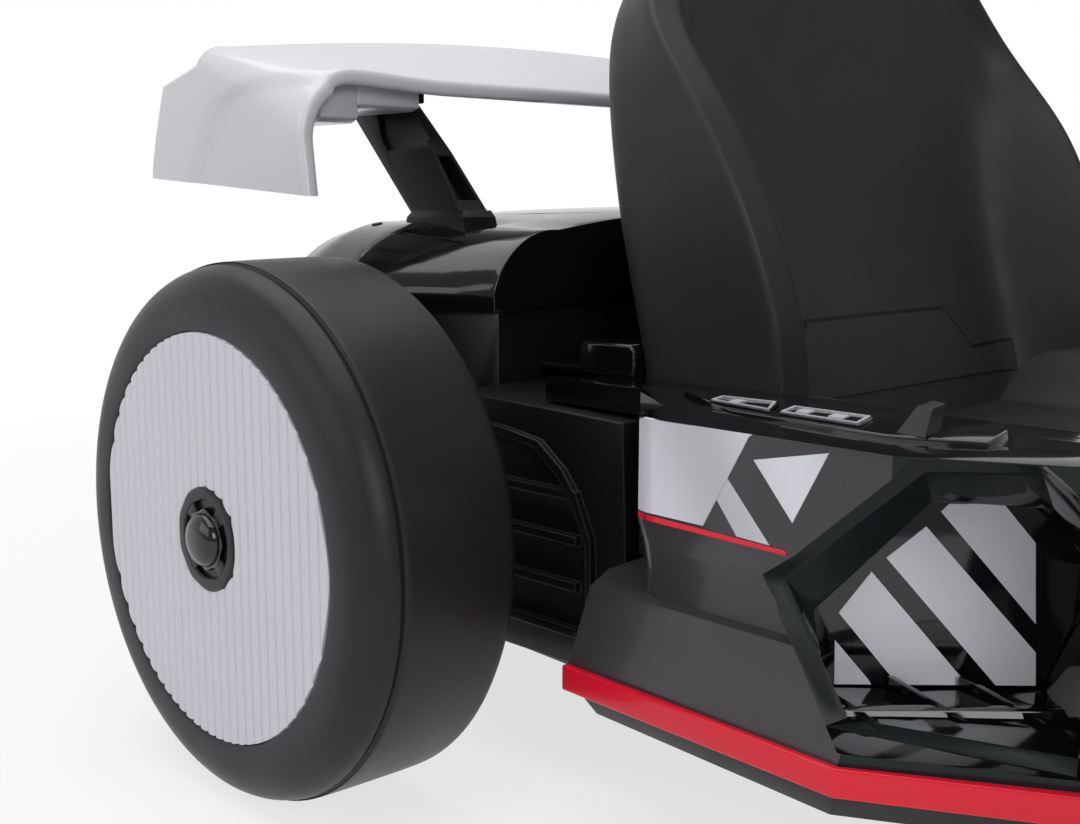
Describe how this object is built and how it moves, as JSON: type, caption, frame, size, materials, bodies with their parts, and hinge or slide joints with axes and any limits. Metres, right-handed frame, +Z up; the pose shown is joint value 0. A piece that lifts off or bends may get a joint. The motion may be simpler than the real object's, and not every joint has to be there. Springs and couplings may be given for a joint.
{
  "type": "electric drift kart",
  "caption": "Low child's electric ride-on kart with slick covered wheels, moulded bucket seat, side pods with intakes, rear wing and linked front steering.",
  "frame": {"origin": "on the ground below the middle of the whole kart", "axes": "+Z up, +X to the kart's left, -Y towards its nose"},
  "size_m": [0.8, 1.12, 0.52],
  "materials": {
    "charcoal": "glossy moulded plastic with a printed livery",
    "gloss_black": "deep gloss moulded plastic",
    "satin_black": "satin moulded plastic",
    "matte_black": "fine grained moulded plastic",
    "seat_grey": "fine grained moulded plastic",
    "pearl_white": "pearl gloss plastic",
    "silver_plate": "silver film with black diagonal bars",
    "cover_silver": "pearl silver corrugated cover",
    "stripe_red": "gloss red band",
    "slick_tyre": "satin slick plastic tyre",
    "grip_black": "soft grip",
    "pedal_grey": "matt moulded plastic",
    "button_silver": "silver edged buttons",
    "steel": "bright drawn steel",
    "dark_metal": "black painted metal"
  },
  "bodies": {
    "chassis": {"battery": "dark_metal", "brake_pedal": "pedal_grey", "drive_box": "satin_black", "drive_cover": "gloss_black", "fairing_left": "gloss_black", "fairing_right": "gloss_black", "floor_pan": "matte_black", "front_beam": "dark_metal", "front_bumper": "matte_black", "gearbox_left": "dark_metal", "gearbox_right": "dark_metal", "intake_plate_left": "silver_plate", "intake_plate_right": "silver_plate", "nose": "charcoal", "pod_left": "charcoal", "pod_right": "charcoal", "rear_axle": "steel", "seat": "seat_grey", "seat_brackets": "gloss_black", "shift_lever": "pedal_grey", "steering_column": "matte_black", "stripe_left": "stripe_red", "stripe_right": "stripe_red", "strut_left": "matte_black", "strut_right": "matte_black", "switch_buttons": "button_silver", "switch_panel": "gloss_black", "throttle_pedal": "pedal_grey", "well_left": "matte_black", "well_right": "matte_black", "wing": "pearl_white"},
    "knuckle_right_body": {"knuckle_right": "dark_metal"},
    "knuckle_left_body": {"knuckle_left": "dark_metal"},
    "front_wheel_right": {"front_tyre_right": "slick_tyre", "front_rim_right": "cover_silver"},
    "front_wheel_left": {"front_tyre_left": "slick_tyre", "front_rim_left": "cover_silver"},
    "rear_wheel_right": {"rear_tyre_right": "slick_tyre", "rear_rim_right": "cover_silver"},
    "rear_wheel_left": {"rear_tyre_left": "slick_tyre", "rear_rim_left": "cover_silver"},
    "steering": {"steering_wheel": "grip_black", "steering_shaft": "steel"},
    "track_rod": {"tie_rod": "steel"}
  },
  "joints": [
    {"name": "steer_left", "type": "hinge", "parent": "chassis", "child": "knuckle_left_body", "pos_m": [0.264, -0.354, 0.11], "axis": [0, 0, 1], "range_deg": [-24, 24]},
    {"name": "steer_right", "type": "hinge", "parent": "chassis", "child": "knuckle_right_body", "pos_m": [-0.264, -0.354, 0.11], "axis": [0, 0, 1], "range_deg": [-24, 24]},
    {"name": "track_rod_hinge", "type": "hinge", "parent": "knuckle_left_body", "child": "track_rod", "pos_m": [0.264, -0.416, 0.1053], "axis": [0, 0, 1], "range_deg": [-24, 24]},
    {"name": "steering_turn", "type": "hinge", "parent": "chassis", "child": "steering", "pos_m": [0, -0.13994, 0.392], "axis": [0, 0.6428, 0.766], "range_deg": [-60, 60]},
    {"name": "front_spin_left", "type": "hinge", "parent": "knuckle_left_body", "child": "front_wheel_left", "pos_m": [0.331, -0.354, 0.11], "axis": [1, 0, 0], "continuous": true},
    {"name": "front_spin_right", "type": "hinge", "parent": "knuckle_right_body", "child": "front_wheel_right", "pos_m": [-0.331, -0.354, 0.11], "axis": [1, 0, 0], "continuous": true},
    {"name": "rear_spin_left", "type": "hinge", "parent": "chassis", "child": "rear_wheel_left", "pos_m": [0.347, 0.346, 0.137], "axis": [1, 0, 0], "continuous": true},
    {"name": "rear_spin_right", "type": "hinge", "parent": "chassis", "child": "rear_wheel_right", "pos_m": [-0.347, 0.346, 0.137], "axis": [1, 0, 0], "continuous": true}
  ],
  "couplings": [
    {"joint": "steer_right", "follows": "steer_left", "ratio": 1},
    {"joint": "track_rod_hinge", "follows": "steer_left", "ratio": -1},
    {"joint": "steering_turn", "follows": "steer_left", "ratio": 2.5}
  ]
}
